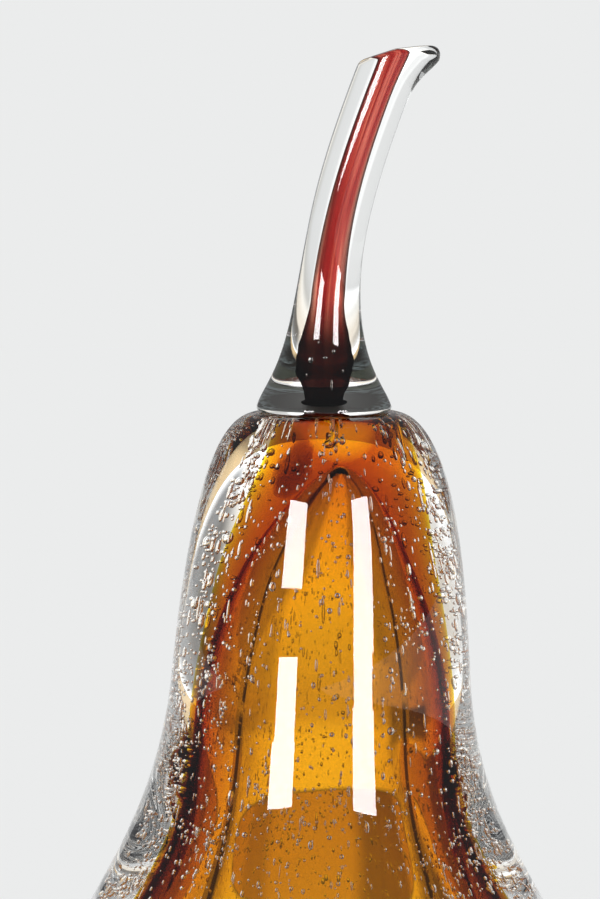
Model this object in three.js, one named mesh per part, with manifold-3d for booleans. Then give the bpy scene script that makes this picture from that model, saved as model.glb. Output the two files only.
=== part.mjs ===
// A decorative glass pear: a blown amber bubble inside two clear gathers, with a cored clear stem on top.
// Millimetres, +Z up. The origin is the centre of the base, on the surface that the pear stands on.
import * as THREE from "three";
import { mergeVertices } from "three/addons/utils/BufferGeometryUtils.js";
import Module from "manifold-3d";

// Fused layers are kept this far apart, so that each stays a piece of its own.
const CLEARANCE = 0.3;

// Heights above the base, and depths below the flat seat on top of the body.
const BODY_HEIGHT = 207.6;
const NECK_DEPTH = 52.5;
const BULB_HEIGHT = 60;
const AMBER_NECK_DEPTH = 66.2;
const AMBER_BULB_HEIGHT = 62;
const CAVITY_DEPTH = 13.2;

// The amber bubble's outer radii, its wall and the blowpipe channel at its top.
const AMBER_MOUTH_RADIUS = 6;
const AMBER_NECK_RADIUS = 18;
const AMBER_BULB_RADIUS = 37;
const AMBER_WALL = 1.7;
const CHANNEL_RADIUS = 1.35;

// Thickness of the bubbled gather and of the clear gather, at mouth, neck, bulb and floor.
const BUBBLED_WALL = { mouth: 3.3, neck: 4.3, bulb: 5, floor: 5 };
const CLEAR_WALL = { mouth: 3.8, neck: 7.2, bulb: 19.4, floor: 16.4 };

// The ground base: a flat ring round the shallow polished pontil mark.
const BASE_RADIUS = 25;
const PONTIL_RADIUS = 15;
const PONTIL_DEPTH = 2.5;
const PONTIL_PULL = 7.5;

// The hand-made lean: sideways shift of the body's neck, and of the amber inside it.
const NECK_LEAN = 1.7;
const NECK_LEAN_DEPTH = 85;
const AMBER_SHIFT = 0.5;
const AMBER_TIP_LEAN = 1.7;
const AMBER_TIP_LEAN_DEPTH = 34;
const LEAN_END_DEPTH = 8;

// The stem's axis: where its foot and tip are, how long it stays upright and how its tip leans.
const STEM_SHIFT = -0.4;
const STEM_RISE = 72.1;
const STEM_REACH = 14.2;
const STEM_UPRIGHT = 30.3;
const STEM_TIP_PULL = 32;
const STEM_TIP_LEAN = THREE.MathUtils.degToRad(21.8);

// The clear casing round it: flared foot, shaft, and the end that was sheared off at a slant.
const FOOT_MARGIN = 0.2;
const FOOT_RIM = 0.9;
const SHAFT_RADIUS = 5.9;
const FLARE_HEIGHT = 36.3;
const FLARE_INWARD = 1.5;
const FLARE_PULL = { foot: 6.1, shaft: 27.2 };
const SHEAR_ANGLE = THREE.MathUtils.degToRad(39.6);
const SHEAR_LENGTH = 20.2;
const TIP_ROUNDING = 1.2;

// The end's outer side: how far its lip stands out and its edge sags, and how late each of them sets in.
const TIP_LIP = 3.1;
const LIP_ONSET = 6;
const TIP_SAG = 3.5;
const SAG_ONSET = 7;

// The burgundy core, from its foot over the knob to the sheared end, and the dents in the knob.
const CORE_FOOT_RADIUS = 2.6;
const KNOB_RADIUS = 4.1;
const KNOB_HEIGHT = 8.2;
const KNOB_TOP_HEIGHT = 22;
const CORE_RADIUS = 2.25;
const CORE_TIP_RADIUS = 1.65;
const CORE_PULL = { foot: 2.1, knob: 4.1, waist: 5, tip: 40 };
const KNOB_DENT = 0.55;
const KNOB_DENTS_AROUND = 5;
const KNOB_DENT_START = 4.1;
const KNOB_DENT_SPACING = 6.3;

// Facets round each turned shape, and along each curve of its outline.
const BODY_SEGMENTS = 40;
const STEM_SEGMENTS = 28;
const CORE_SEGMENTS = 20;
const CASING_DIVISIONS = 11;
const LAYER_DIVISIONS = 7;
const STEM_DIVISIONS = 8;
const CORE_DIVISIONS = 5;
const EDGE_DIVISIONS = 3;
const MERGE_DISTANCE = 1e-4;

const wasm = await Module();
wasm.setup();

const vec = (x, y) => new THREE.Vector2(x, y);
const { smoothstep } = THREE.MathUtils;

const OUTER_WALL = {};
for (const place of ["mouth", "neck", "bulb", "floor"]) {
  OUTER_WALL[place] = BUBBLED_WALL[place] + CLEAR_WALL[place] + 2 * CLEARANCE;
}
const SEAT_RADIUS = AMBER_MOUTH_RADIUS + OUTER_WALL.mouth;
const AMBER_FLOOR = OUTER_WALL.floor;

// A layer of glass as the points of its outline and the pulls of the curves between them. Radius is x.
const amber = {
  mouth: vec(AMBER_MOUTH_RADIUS, BODY_HEIGHT),
  mouthPull: vec(6.5, -11.5),
  neck: vec(AMBER_NECK_RADIUS, BODY_HEIGHT - AMBER_NECK_DEPTH),
  neckPull: vec(0.03, -1),
  neckReach: { up: 19, down: 38 },
  bulb: vec(AMBER_BULB_RADIUS, AMBER_BULB_HEIGHT),
  bulbReach: { up: 22, down: 23 },
  floor: vec(0, AMBER_FLOOR),
  floorReach: 21,
};
const bubbled = thicken(amber, BUBBLED_WALL, CLEARANCE);
const casing = {
  mouth: vec(SEAT_RADIUS, BODY_HEIGHT),
  mouthPull: vec(10.3, 0),
  neck: vec(AMBER_NECK_RADIUS + OUTER_WALL.neck, BODY_HEIGHT - NECK_DEPTH),
  neckPull: vec(0.07, -1),
  neckReach: { up: 27.7, down: 43.9 },
  bulb: vec(AMBER_BULB_RADIUS + OUTER_WALL.bulb, BULB_HEIGHT),
  bulbReach: { up: 40.6, down: 36 },
  floor: vec(BASE_RADIUS, 0),
  floorReach: 17,
};
const cavity = {
  ...thicken(amber, { mouth: 0, neck: -AMBER_WALL, bulb: -AMBER_WALL, floor: -AMBER_WALL }, 0),
  mouth: vec(CHANNEL_RADIUS, BODY_HEIGHT - CAVITY_DEPTH),
  mouthPull: vec(4.7, -0.6),
  neckReach: { up: 27, down: 38 },
};

// The layer that lies round another: the same curves, moved out by a wall and a gap.
function thicken(layer, wall, gap) {
  return {
    ...layer,
    mouth: vec(layer.mouth.x + wall.mouth + gap, layer.mouth.y),
    neck: vec(layer.neck.x + wall.neck + gap, layer.neck.y),
    bulb: vec(layer.bulb.x + wall.bulb + gap, layer.bulb.y),
    floor: vec(layer.floor.x, layer.floor.y - wall.floor - gap),
  };
}

function curveTo(path, from, pullFrom, pullTo, to) {
  path.bezierCurveTo(from.x + pullFrom.x, from.y + pullFrom.y, to.x + pullTo.x, to.y + pullTo.y, to.x, to.y);
}

// A layer's outline, from the axis at its flat top over the mouth and down to its floor.
function layerOutline(layer, top) {
  const { mouth, neck, bulb, floor, neckReach, bulbReach } = layer;
  const along = layer.neckPull.clone().normalize();
  const path = new THREE.Path();
  path.moveTo(0, top);
  path.lineTo(mouth.x, top);
  path.lineTo(mouth.x, mouth.y);
  curveTo(path, mouth, layer.mouthPull, along.clone().multiplyScalar(-neckReach.up), neck);
  curveTo(path, neck, along.clone().multiplyScalar(neckReach.down), vec(0, bulbReach.up), bulb);
  curveTo(path, bulb, vec(0, -bulbReach.down), vec(layer.floorReach, 0), floor);
  return path;
}

// Sideways shift of the glass at a height: the whole neck leans, and the amber's tip leans further.
function bodyLean(z) {
  return NECK_LEAN * smoothstep(z, BODY_HEIGHT - NECK_LEAN_DEPTH, BODY_HEIGHT - LEAN_END_DEPTH);
}

function amberLean(z) {
  const tip = smoothstep(z, BODY_HEIGHT - AMBER_TIP_LEAN_DEPTH, BODY_HEIGHT - LEAN_END_DEPTH);
  return bodyLean(z) + AMBER_SHIFT + AMBER_TIP_LEAN * tip;
}

function solidOf(geometry) {
  geometry.deleteAttribute("normal");
  geometry.deleteAttribute("uv");
  const merged = mergeVertices(geometry, MERGE_DISTANCE);
  const vertProperties = merged.attributes.position.array;
  const triVerts = new Uint32Array(merged.index.array);
  return new wasm.Manifold(new wasm.Mesh({ numProp: 3, vertProperties, triVerts }));
}

function geometryOf(solid) {
  const { vertProperties, triVerts } = solid.getMesh();
  const geometry = new THREE.BufferGeometry();
  geometry.setAttribute("position", new THREE.BufferAttribute(vertProperties, 3));
  geometry.setIndex(new THREE.BufferAttribute(triVerts, 1));
  geometry.computeVertexNormals();
  return geometry;
}

// Turns an outline of radius and height about the vertical axis.
function turn(points, segments) {
  return new THREE.LatheGeometry(points, segments).rotateX(Math.PI / 2);
}

// A solid turned from an outline that runs from the top down, then leaned.
function turned(path, lean, divisions) {
  const geometry = turn(path.getPoints(divisions).reverse(), BODY_SEGMENTS);
  const position = geometry.attributes.position;
  for (let i = 0; i < position.count; i++) position.setX(i, position.getX(i) + lean(position.getZ(i)));
  return solidOf(geometry);
}

// The space inside a layer's outline, with the pontil mark where its floor is a ground ring.
function layerSolid(layer, lean, divisions, top = BODY_HEIGHT) {
  const path = layerOutline(layer, top);
  if (layer.floor.x > 0) {
    path.lineTo(PONTIL_RADIUS, layer.floor.y);
    path.quadraticCurveTo(PONTIL_PULL, PONTIL_DEPTH, 0, PONTIL_DEPTH);
  }
  return turned(path, lean, divisions);
}

// The hollow that a layer fills in the gather round it, open at the seat.
function hollowFor(layer) {
  const nothing = { mouth: 0, neck: 0, bulb: 0, floor: 0 };
  const room = thicken(layer, nothing, CLEARANCE);
  return layerSolid(room, amberLean, LAYER_DIVISIONS, BODY_HEIGHT + CLEARANCE);
}

function makeOuterClearGather() {
  return layerSolid(casing, bodyLean, CASING_DIVISIONS).subtract(hollowFor(bubbled));
}

function makeBubbledGather() {
  return layerSolid(bubbled, amberLean, LAYER_DIVISIONS).subtract(hollowFor(amber));
}

function makeAmberBubble() {
  const air = layerSolid(cavity, amberLean, LAYER_DIVISIONS, BODY_HEIGHT + CLEARANCE);
  return layerSolid(amber, amberLean, LAYER_DIVISIONS).subtract(air);
}

// The stem's axis in its own frame, with the middle of the foot's underside at the origin.
const stemTip = new THREE.Vector3(STEM_REACH, 0, STEM_RISE);
const tipDirection = new THREE.Vector3(Math.sin(STEM_TIP_LEAN), 0, Math.cos(STEM_TIP_LEAN));
const stemAxis = new THREE.CubicBezierCurve3(
  new THREE.Vector3(),
  new THREE.Vector3(0, 0, STEM_UPRIGHT),
  stemTip.clone().addScaledVector(tipDirection, -STEM_TIP_PULL),
  stemTip,
);
const STEM_LENGTH = stemAxis.getLength();

// Bends a shape turned about the vertical axis along the stem, and shears its end to the slant.
// On the side towards which the stem bends, the end gathers into a lip, and its edge sags.
function bendAlongStem(geometry) {
  const across = new THREE.Vector3(0, 1, 0);
  const position = geometry.attributes.position;
  const point = new THREE.Vector3();
  for (let i = 0; i < position.count; i++) {
    point.fromBufferAttribute(position, i);
    const place = THREE.MathUtils.clamp(point.z / STEM_LENGTH, 0, 1);
    const tangent = stemAxis.getTangentAt(place);
    const outward = across.clone().cross(tangent);
    const end = smoothstep(point.z, STEM_LENGTH - SHEAR_LENGTH, STEM_LENGTH);
    const outer = Math.max(point.x, 0) / SHAFT_RADIUS;
    const sideways = point.x + TIP_LIP * outer * end ** LIP_ONSET;
    const slant = (point.x - TIP_SAG * outer ** SAG_ONSET) * Math.tan(SHEAR_ANGLE) * end;
    const bent = stemAxis.getPointAt(place).addScaledVector(outward, sideways);
    bent.addScaledVector(across, point.y);
    bent.addScaledVector(tangent, slant);
    position.setXYZ(i, bent.x, bent.y, bent.z);
  }
  return solidOf(geometry);
}

// The core's outline from its foot over the knob to the sheared end, moved out by a gap.
function corePoints(gap) {
  const path = new THREE.Path();
  const waist = vec(CORE_RADIUS, KNOB_TOP_HEIGHT);
  const knob = vec(KNOB_RADIUS, KNOB_HEIGHT);
  const foot = vec(CORE_FOOT_RADIUS, 0);
  const tip = vec(CORE_TIP_RADIUS, STEM_LENGTH);
  const rise = vec(0, CORE_PULL.knob);
  const fall = vec(0, -CORE_PULL.knob);
  path.moveTo(foot.x, foot.y);
  curveTo(path, foot, vec(0, CORE_PULL.foot), fall, knob);
  curveTo(path, knob, rise, fall, waist);
  curveTo(path, waist, vec(0, CORE_PULL.waist), vec(0, -CORE_PULL.tip), tip);
  return path.getPoints(CORE_DIVISIONS).map((point) => vec(point.x + gap, point.y));
}

function makeStemCasing() {
  const footRadius = SEAT_RADIUS - FOOT_MARGIN;
  const end = STEM_LENGTH;
  const bore = corePoints(CLEARANCE).reverse();
  const underside = new THREE.Path();
  underside.moveTo(bore.at(-1).x, 0);
  underside.lineTo(footRadius - FOOT_RIM, 0);
  underside.quadraticCurveTo(footRadius, 0, footRadius, FOOT_RIM);
  const flare = new THREE.CubicBezierCurve(
    vec(footRadius, FOOT_RIM),
    vec(footRadius - FLARE_INWARD, FLARE_PULL.foot),
    vec(SHAFT_RADIUS, FLARE_HEIGHT - FLARE_PULL.shaft),
    vec(SHAFT_RADIUS, FLARE_HEIGHT),
  );
  // The shaft is straight, and its points crowd towards the tip, where the lip bends it most.
  const shaftEnd = vec(SHAFT_RADIUS, end - TIP_ROUNDING);
  const shaft = new THREE.QuadraticBezierCurve(vec(SHAFT_RADIUS, FLARE_HEIGHT), shaftEnd, shaftEnd);
  const rim = new THREE.QuadraticBezierCurve(
    vec(SHAFT_RADIUS, end - TIP_ROUNDING),
    vec(SHAFT_RADIUS, end),
    vec(SHAFT_RADIUS - TIP_ROUNDING, end),
  );
  const points = [
    ...underside.getPoints(EDGE_DIVISIONS),
    ...flare.getPoints(STEM_DIVISIONS).slice(1),
    ...shaft.getPoints(STEM_DIVISIONS).slice(1),
    ...rim.getPoints(EDGE_DIVISIONS).slice(1),
    ...bore,
  ];
  return bendAlongStem(turn(points, STEM_SEGMENTS));
}

function makeStemCore() {
  const geometry = turn([vec(0, 0), ...corePoints(0), vec(0, STEM_LENGTH)], CORE_SEGMENTS);
  const position = geometry.attributes.position;
  for (let i = 0; i < position.count; i++) {
    const [x, y, z] = [position.getX(i), position.getY(i), position.getZ(i)];
    const knob = smoothstep(z, 0, KNOB_DENT_START) * (1 - smoothstep(z, KNOB_HEIGHT, KNOB_TOP_HEIGHT));
    const around = Math.cos(KNOB_DENTS_AROUND * Math.atan2(y, x));
    const wave = around * Math.cos((2 * Math.PI * z) / KNOB_DENT_SPACING);
    const inward = 1 - (KNOB_DENT / KNOB_RADIUS) * knob * (0.5 + 0.5 * wave);
    position.setXY(i, x * inward, y * inward);
  }
  return bendAlongStem(geometry);
}

function glass(name, solid, color, roughness) {
  const material = new THREE.MeshStandardMaterial({ color, roughness, metalness: 0 });
  const mesh = new THREE.Mesh(geometryOf(solid), material);
  mesh.name = name;
  return mesh;
}

const CLEAR_GLASS = "#d9dfdc";
const BUBBLED_GLASS = "#c9cfcc";
const AMBER_GLASS = "#c07a00";
const BURGUNDY_GLASS = "#7a1712";
const POLISH = 0.05;

const body = new THREE.Group();
body.add(
  glass("outer_clear_gather", makeOuterClearGather(), CLEAR_GLASS, POLISH),
  glass("bubbled_gather", makeBubbledGather(), BUBBLED_GLASS, POLISH),
  glass("amber_bubble", makeAmberBubble(), AMBER_GLASS, POLISH),
);

const stem = new THREE.Group();
stem.position.set(bodyLean(BODY_HEIGHT) + STEM_SHIFT, 0, BODY_HEIGHT + CLEARANCE);
stem.add(
  glass("stem_casing", makeStemCasing(), CLEAR_GLASS, POLISH),
  glass("stem_core", makeStemCore(), BURGUNDY_GLASS, POLISH),
);

const pear = new THREE.Group();
pear.add(body, stem);

export default pear;
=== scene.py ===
"""Dresses a hand-worked glass pear: an amber bubble in clear glass full of seed bubbles, and a cored stem.

Every surface is worked out with numpy as a grid and put into one mesh per piece, in metres, +Z up.
"""

import math

import bpy
import numpy as np
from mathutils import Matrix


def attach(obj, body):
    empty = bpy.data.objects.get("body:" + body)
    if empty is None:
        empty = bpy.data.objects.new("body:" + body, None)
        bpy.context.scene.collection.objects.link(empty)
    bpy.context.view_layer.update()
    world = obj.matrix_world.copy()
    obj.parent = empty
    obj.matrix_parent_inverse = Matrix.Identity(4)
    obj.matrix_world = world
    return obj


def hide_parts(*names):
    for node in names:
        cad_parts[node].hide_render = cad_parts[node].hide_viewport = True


bl_info = {
    "name": "Glass Pear",
    "version": (1, 0, 0),
    "blender": (4, 5, 0),
    "location": "3D View > Sidebar > Glass Pear",
    "description": "Makes the finished glass of a hand-worked pear round its packed frame",
    "category": "Object",
}

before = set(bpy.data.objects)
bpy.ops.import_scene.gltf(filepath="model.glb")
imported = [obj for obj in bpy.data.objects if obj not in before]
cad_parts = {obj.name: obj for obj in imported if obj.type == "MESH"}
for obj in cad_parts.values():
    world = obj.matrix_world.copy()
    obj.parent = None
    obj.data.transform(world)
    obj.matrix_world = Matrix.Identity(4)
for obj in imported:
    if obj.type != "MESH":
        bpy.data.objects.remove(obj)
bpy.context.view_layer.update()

BODY = "root"
MM = 0.001
# Fused layers stand this far apart, or a few times as far, so that no two surfaces lie in one place.
SEAM = 0.05 * MM
# Glass fused to the same glass doesn't bend light.
FUSED_IOR = 1.0
# Pull of both ends of a Bezier that rounds off a corner, as a share of the corner's size.
ROUND_PULL = 0.67
RANDOM_SEED = 7


def plain(name, description, default, **extra):
    """A property that holds a number."""
    return bpy.props.FloatProperty(name=name, description=description, default=default, **extra)


def metres(name, description, default):
    """A property that holds a length in metres."""
    return plain(name, description, default, unit="LENGTH", precision=5)


def degrees(name, description, default):
    """A property that holds an angle, given in degrees and kept in radians."""
    return plain(name, description, math.radians(default), subtype="ANGLE")


def whole(name, description, default):
    """A property that holds a whole number."""
    return bpy.props.IntProperty(name=name, description=description, default=default, min=0)


def colour(name, description, default):
    """A property that holds a linear colour."""
    return bpy.props.FloatVectorProperty(
        name=name, description=description, default=default, subtype="COLOR", size=3, min=0, max=1
    )


class GlassPearBody(bpy.types.PropertyGroup):
    """Sizes of the pear's body."""

    height: metres("Height", "From the base to the seat under the stem", 0.2076)
    seat_radius: metres("Seat radius", "Flat top of the body, under the stem's foot", 0.0137)
    neck_depth: metres("Neck depth", "Below the seat, where the neck runs straightest", 0.0525)
    neck_radius: metres("Neck radius", "Outer radius of the body at the neck", 0.0301)
    bulb_height: metres("Bulb height", "Height of the widest part", 0.06)
    bulb_radius: metres("Bulb radius", "Largest outer radius", 0.062)
    base_radius: metres("Base radius", "Outer radius of the ground ring it stands on", 0.025)
    pontil_radius: metres("Pontil radius", "Inner radius of that ring", 0.015)
    pontil_depth: metres("Pontil depth", "Depth of the polished mark inside it", 0.0025)
    neck_lean: metres("Neck lean", "Sideways shift of the neck", 0.0017)
    neck_lean_depth: metres("Lean depth", "Below the seat, where the lean begins", 0.085)
    lean_end_depth: metres("Lean end", "Below the seat, where the lean is complete", 0.008)
    ripple: metres("Ripple", "Depth of the hand-worked unevenness of the surface", 0.00018)


class GlassPearAmber(bpy.types.PropertyGroup):
    """Sizes of the amber bubble and of the bubbled glass round it."""

    mouth_radius: metres("Mouth radius", "Amber's radius at the seat", 0.006)
    neck_depth: metres("Neck depth", "Below the seat, where the amber runs straightest", 0.0662)
    neck_radius: metres("Neck radius", "Amber's outer radius there", 0.018)
    bulb_height: metres("Bulb height", "Height of the amber's widest part", 0.062)
    bulb_radius: metres("Bulb radius", "Amber's largest outer radius", 0.037)
    floor_height: metres("Floor height", "Height of the amber's lowest point", 0.022)
    wall: metres("Wall", "Thickness of the amber at neck, bulb and floor", 0.0017)
    coat_tip: metres("Coat at the tip", "Thickness of the deep amber coat at the hollow's tip", 0.00018)
    coat_neck: metres("Coat at the neck", "Thickness of that coat at the neck", 0.001)
    coat_bulb: metres("Coat at the bulb", "Thickness of that coat at the bulb", 0.0006)
    cavity_depth: metres("Cavity depth", "Below the seat, where the hollow's tip is", 0.0132)
    shift: metres("Shift", "Sideways place of the amber inside the body", 0.0005)
    tip_lean: metres("Tip lean", "Further sideways shift of the amber's tip", 0.0017)
    tip_lean_depth: metres("Tip lean depth", "Below the seat, where the tip begins to lean", 0.034)
    bubbled_mouth: metres("Bubbled wall at the mouth", "Thickness of the bubbled glass", 0.0033)
    bubbled_neck: metres("Bubbled wall at the neck", "Thickness of the bubbled glass", 0.0043)
    bubbled_bulb: metres("Bubbled wall at the bulb", "Thickness of the bubbled glass", 0.005)
    bubble_count: whole("Bubbles", "Seed bubbles in the bubbled glass", 1900)
    swarms: whole("Swarms", "Pieces full of the finest bubbles", 3)
    swarm_count: whole("Swarm", "Bubbles in each of them", 3000)
    swarm_radius: metres("Swarm bubble radius", "Middle size of the finest bubbles", 0.00026)
    bubble_radius: metres("Bubble radius", "Middle size of the seed bubbles", 0.00027)


class GlassPearStem(bpy.types.PropertyGroup):
    """Sizes of the stem."""

    shift: metres("Shift", "Sideways place of the foot on the seat", -0.0004)
    gap: metres("Gap", "Between the seat and the foot's underside at the rim", 0.0003)
    rise: metres("Rise", "Height of the middle of the tip above the foot", 0.07205)
    reach: metres("Reach", "Sideways distance from the foot to the tip", 0.0142)
    upright: metres("Upright", "How strongly the foot keeps the stem upright", 0.0303)
    tip_pull: metres("Tip pull", "How strongly the tip keeps its lean", 0.032)
    tip_lean: degrees("Tip lean", "Lean of the axis at the tip", 21.8)
    foot_radius: metres("Foot radius", "Flared foot's outer radius", 0.0135)
    foot_rim: metres("Foot rim", "Height of the foot's rounded rim", 0.0009)
    shaft_radius: metres("Shaft radius", "Clear casing's radius along the shaft", 0.0059)
    flare_height: metres("Flare height", "Where the foot's flare ends", 0.0363)
    flare_inward: metres("Flare inward", "How far the flare draws in as it leaves the foot", 0.0015)
    flare_foot_pull: metres("Flare foot pull", "How high the foot pulls the flare", 0.0061)
    flare_shaft_pull: metres("Flare shaft pull", "How far down the shaft pulls the flare", 0.0272)
    shear_angle: degrees("Shear angle", "Slant of the sheared end", 39.6)
    shear_length: metres("Shear length", "Stretch of the stem that the shears drew out", 0.0202)
    tip_rounding: metres("Tip rounding", "Softening of the sheared end's edge", 0.0012)
    tip_lip: metres("Tip lip", "How far the end's outer side stands out", 0.0031)
    lip_onset: whole("Lip onset", "How late the lip sets in", 6)
    tip_sag: metres("Tip sag", "How far the edge of the end's outer side sags", 0.0035)
    sag_onset: whole("Sag onset", "How far out the sag sets in", 7)
    core_foot: metres("Core foot", "Burgundy core's radius at the seat", 0.0026)
    knob_radius: metres("Knob radius", "Core's radius at its knob", 0.0041)
    knob_height: metres("Knob height", "Height of the knob's widest part", 0.0082)
    knob_top: metres("Knob top", "Where the knob has narrowed to the cane", 0.022)
    core_radius: metres("Core radius", "Core's radius where the cane begins", 0.00225)
    core_tip: metres("Core tip", "Core's radius at the sheared end", 0.00165)
    core_foot_pull: metres("Core foot pull", "How strongly the core rises from its foot", 0.0021)
    core_knob_pull: metres("Core knob pull", "How round the knob is", 0.0041)
    core_waist_pull: metres("Core waist pull", "How soon the cane narrows", 0.005)
    core_tip_pull: metres("Core tip pull", "How early the cane has its last width", 0.04)
    knob_dent: metres("Knob dents", "Depth of the dents round the knob", 0.00055)


class GlassPearFinish(bpy.types.PropertyGroup):
    """Colours and optics of the glass."""

    ior: plain("IOR", "Refractive index of the glass", 1.5)
    clear_tint: colour("Clear tint", "What clear glass lets through", (0.975, 0.99, 0.985))
    amber_pass: colour("Amber pass", "Colour that the pale amber lets through", (0.94, 0.84, 0.05))
    amber_density: plain("Amber density", "Absorption of the pale amber per metre", 1000)
    coat_pass: colour("Coat pass", "Colour that the deep amber coat lets through", (0.85, 0.67, 0.02))
    coat_density: plain("Coat density", "Absorption of the deep amber per metre", 1600)
    smoke_pass: colour("Smoke pass", "Colour that the dark cloud in the plug lets through", (0.72, 0.56, 0.4))
    smoke_density: plain("Smoke density", "Absorption of the dark cloud per metre", 1000)
    burgundy_pass: colour("Burgundy pass", "Colour that burgundy lets through", (0.96, 0.85, 0.82))
    burgundy_density: plain("Burgundy density", "Absorption of the burgundy per metre", 1000)


class GlassPearStage(bpy.types.PropertyGroup):
    """Camera, floor and light."""

    camera_distance: metres("Camera distance", "From the camera to the pear's axis", 0.9)
    camera_pitch: degrees("Camera pitch", "How far the camera looks down", 5.5)
    aim_x: metres("Aim across", "Sideways place of the picture's middle", -0.0035)
    aim_height: metres("Aim height", "Height of the picture's middle", 0.2001)
    picture_height: metres("Picture height", "Height that the picture covers at the pear", 0.1798)
    backdrop: colour("Backdrop", "Pale floor and backdrop", (0.831, 0.839, 0.839))


GROUPS = {
    "glass_pear_body": GlassPearBody,
    "glass_pear_amber": GlassPearAmber,
    "glass_pear_stem": GlassPearStem,
    "glass_pear_finish": GlassPearFinish,
    "glass_pear_stage": GlassPearStage,
}


def settings():
    """The groups for body, amber, stem, finish and stage, in this order, as they are set in the scene."""
    return tuple(getattr(bpy.context.scene, name) for name in GROUPS)


def smoothstep(values, low, high):
    """0 below `low`, 1 above `high`, and t * t * (3 - 2 t) between them."""
    t = np.clip((values - low) / (high - low), 0, 1)
    return t * t * (3 - 2 * t)


def bezier(start, start_pull, end_pull, end, steps):
    """Cubic Bezier: (1-t)^3 A + 3 (1-t)^2 t B + 3 (1-t) t^2 C + t^3 D, with pulls measured from its ends."""
    start, end = np.array(start, float), np.array(end, float)
    second, third = start + start_pull, end + end_pull
    t = np.linspace(0, 1, steps + 1)[:, None]
    return (1 - t) ** 3 * start + 3 * (1 - t) ** 2 * t * second + 3 * (1 - t) * t**2 * third + t**3 * end


def chain(*curves):
    """Curves laid end to end, without the points that they share."""
    points = np.concatenate(curves)
    keep = np.ones(len(points), bool)
    keep[1:] = np.linalg.norm(np.diff(points, axis=0), axis=1) > 1e-7
    return points[keep]


def line(start, end, steps=1):
    """Straight run: start + t (end - start)."""
    t = np.linspace(0, 1, steps + 1)[:, None]
    return np.array(start, float) + t * (np.array(end, float) - np.array(start, float))


def ring_points(radius, angle, height):
    """Points of rings round the Z axis: (r cos a, r sin a, z)."""
    return np.stack(np.broadcast_arrays(radius * np.cos(angle), radius * np.sin(angle), height), axis=-1)


def flat_top(outline, top):
    """An outline cut off at a height and closed to the axis there."""
    outline[:, 1] = np.minimum(outline[:, 1], top)
    return chain(line((0, top), outline[0]), outline)


class Surface:
    """Grids of points collected into one mesh, each with its material index and perhaps a point attribute."""

    def __init__(self):
        self.points, self.quads, self.triangles = [], [], []
        self.quad_materials, self.triangle_materials = [], []
        self.extra = []
        self.count = 0

    def add_closed(self, grid, material=0, inward=False, extra=None):
        """A closed surface from rows of rings. Its first and last rows are one point each, the poles.

        `material` is one index or one for each band between rows. `extra` is a point attribute.
        """
        rows, columns = grid.shape[:2]
        ring = np.arange(columns)
        after = np.roll(ring, -1)
        middle = grid[1:-1].reshape(-1, 3)
        points = np.concatenate([grid[0, :1], middle, grid[-1, :1]])
        last = len(points) - 1
        base = 1 + np.arange(rows - 3)[:, None] * columns
        quads = np.stack([base + ring, base + after, base + columns + after, base + columns + ring], axis=-1)
        quads = quads.reshape(-1, 4)
        top = np.stack([np.zeros(columns, int), 1 + after, 1 + ring], axis=-1)
        end = 1 + (rows - 3) * columns
        bottom = np.stack([end + ring, end + after, np.full(columns, last)], axis=-1)
        bands = np.broadcast_to(np.asarray(material), (rows - 1,))
        if not inward:
            quads, top, bottom = quads[:, ::-1], top[:, ::-1], bottom[:, ::-1]
        self.points.append(points)
        self.quads.append(quads + self.count)
        self.triangles.append(np.concatenate([top, bottom]) + self.count)
        self.quad_materials.append(np.repeat(bands[1:-1], columns))
        self.triangle_materials.append(np.repeat(bands[[0, -1]], columns))
        if extra is not None:
            flat = extra[1:-1].reshape(-1, 3)
            self.extra.append(np.concatenate([extra[0, :1], flat, extra[-1, :1]]))
        self.count += len(points)

    def add_faces(self, points, triangles, material):
        """Loose triangles that already close on themselves."""
        self.points.append(points)
        self.triangles.append(triangles + self.count)
        self.triangle_materials.append(np.full(len(triangles), material))
        self.count += len(points)

    def make(self, name, materials, attribute=None):
        """Puts the surface into a new object at the origin and links it to the scene."""
        points = np.concatenate(self.points)
        quads = np.concatenate(self.quads) if self.quads else np.zeros((0, 4), int)
        triangles = np.concatenate(self.triangles)
        loops = np.concatenate([quads.ravel(), triangles.ravel()])
        totals = np.concatenate([np.full(len(quads), 4), np.full(len(triangles), 3)])
        starts = np.concatenate([[0], np.cumsum(totals)[:-1]])
        slots = np.concatenate([*self.quad_materials, *self.triangle_materials])
        mesh = bpy.data.meshes.new(name)
        mesh.vertices.add(len(points))
        mesh.vertices.foreach_set("co", points.astype(np.float32).ravel())
        mesh.loops.add(len(loops))
        mesh.loops.foreach_set("vertex_index", loops.astype(np.int32))
        mesh.polygons.add(len(totals))
        for key, values in ("loop_start", starts), ("loop_total", totals), ("material_index", slots):
            mesh.polygons.foreach_set(key, values.astype(np.int32))
        mesh.polygons.foreach_set("use_smooth", np.ones(len(totals), bool))
        for material in materials:
            mesh.materials.append(material)
        if attribute:
            layer = mesh.attributes.new(attribute, "FLOAT_VECTOR", "POINT")
            layer.data.foreach_set("vector", np.concatenate(self.extra).astype(np.float32).ravel())
        mesh.update(calc_edges=True)
        mesh.validate()
        piece = bpy.data.objects.new(name, mesh)
        bpy.context.scene.collection.objects.link(piece)
        return piece


def revolve(profile, lean, turns):
    """Grid of a turned surface: x = r cos a + lean(z), y = r sin a, for points (r, z) from the top."""
    angle = np.linspace(0, 2 * np.pi, turns, endpoint=False)
    radius, height = profile[:, :1], profile[:, 1:]
    x = radius * np.cos(angle) + lean(height)
    y = radius * np.sin(angle)
    return np.stack([x, y, np.broadcast_to(height, x.shape)], axis=-1)


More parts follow.
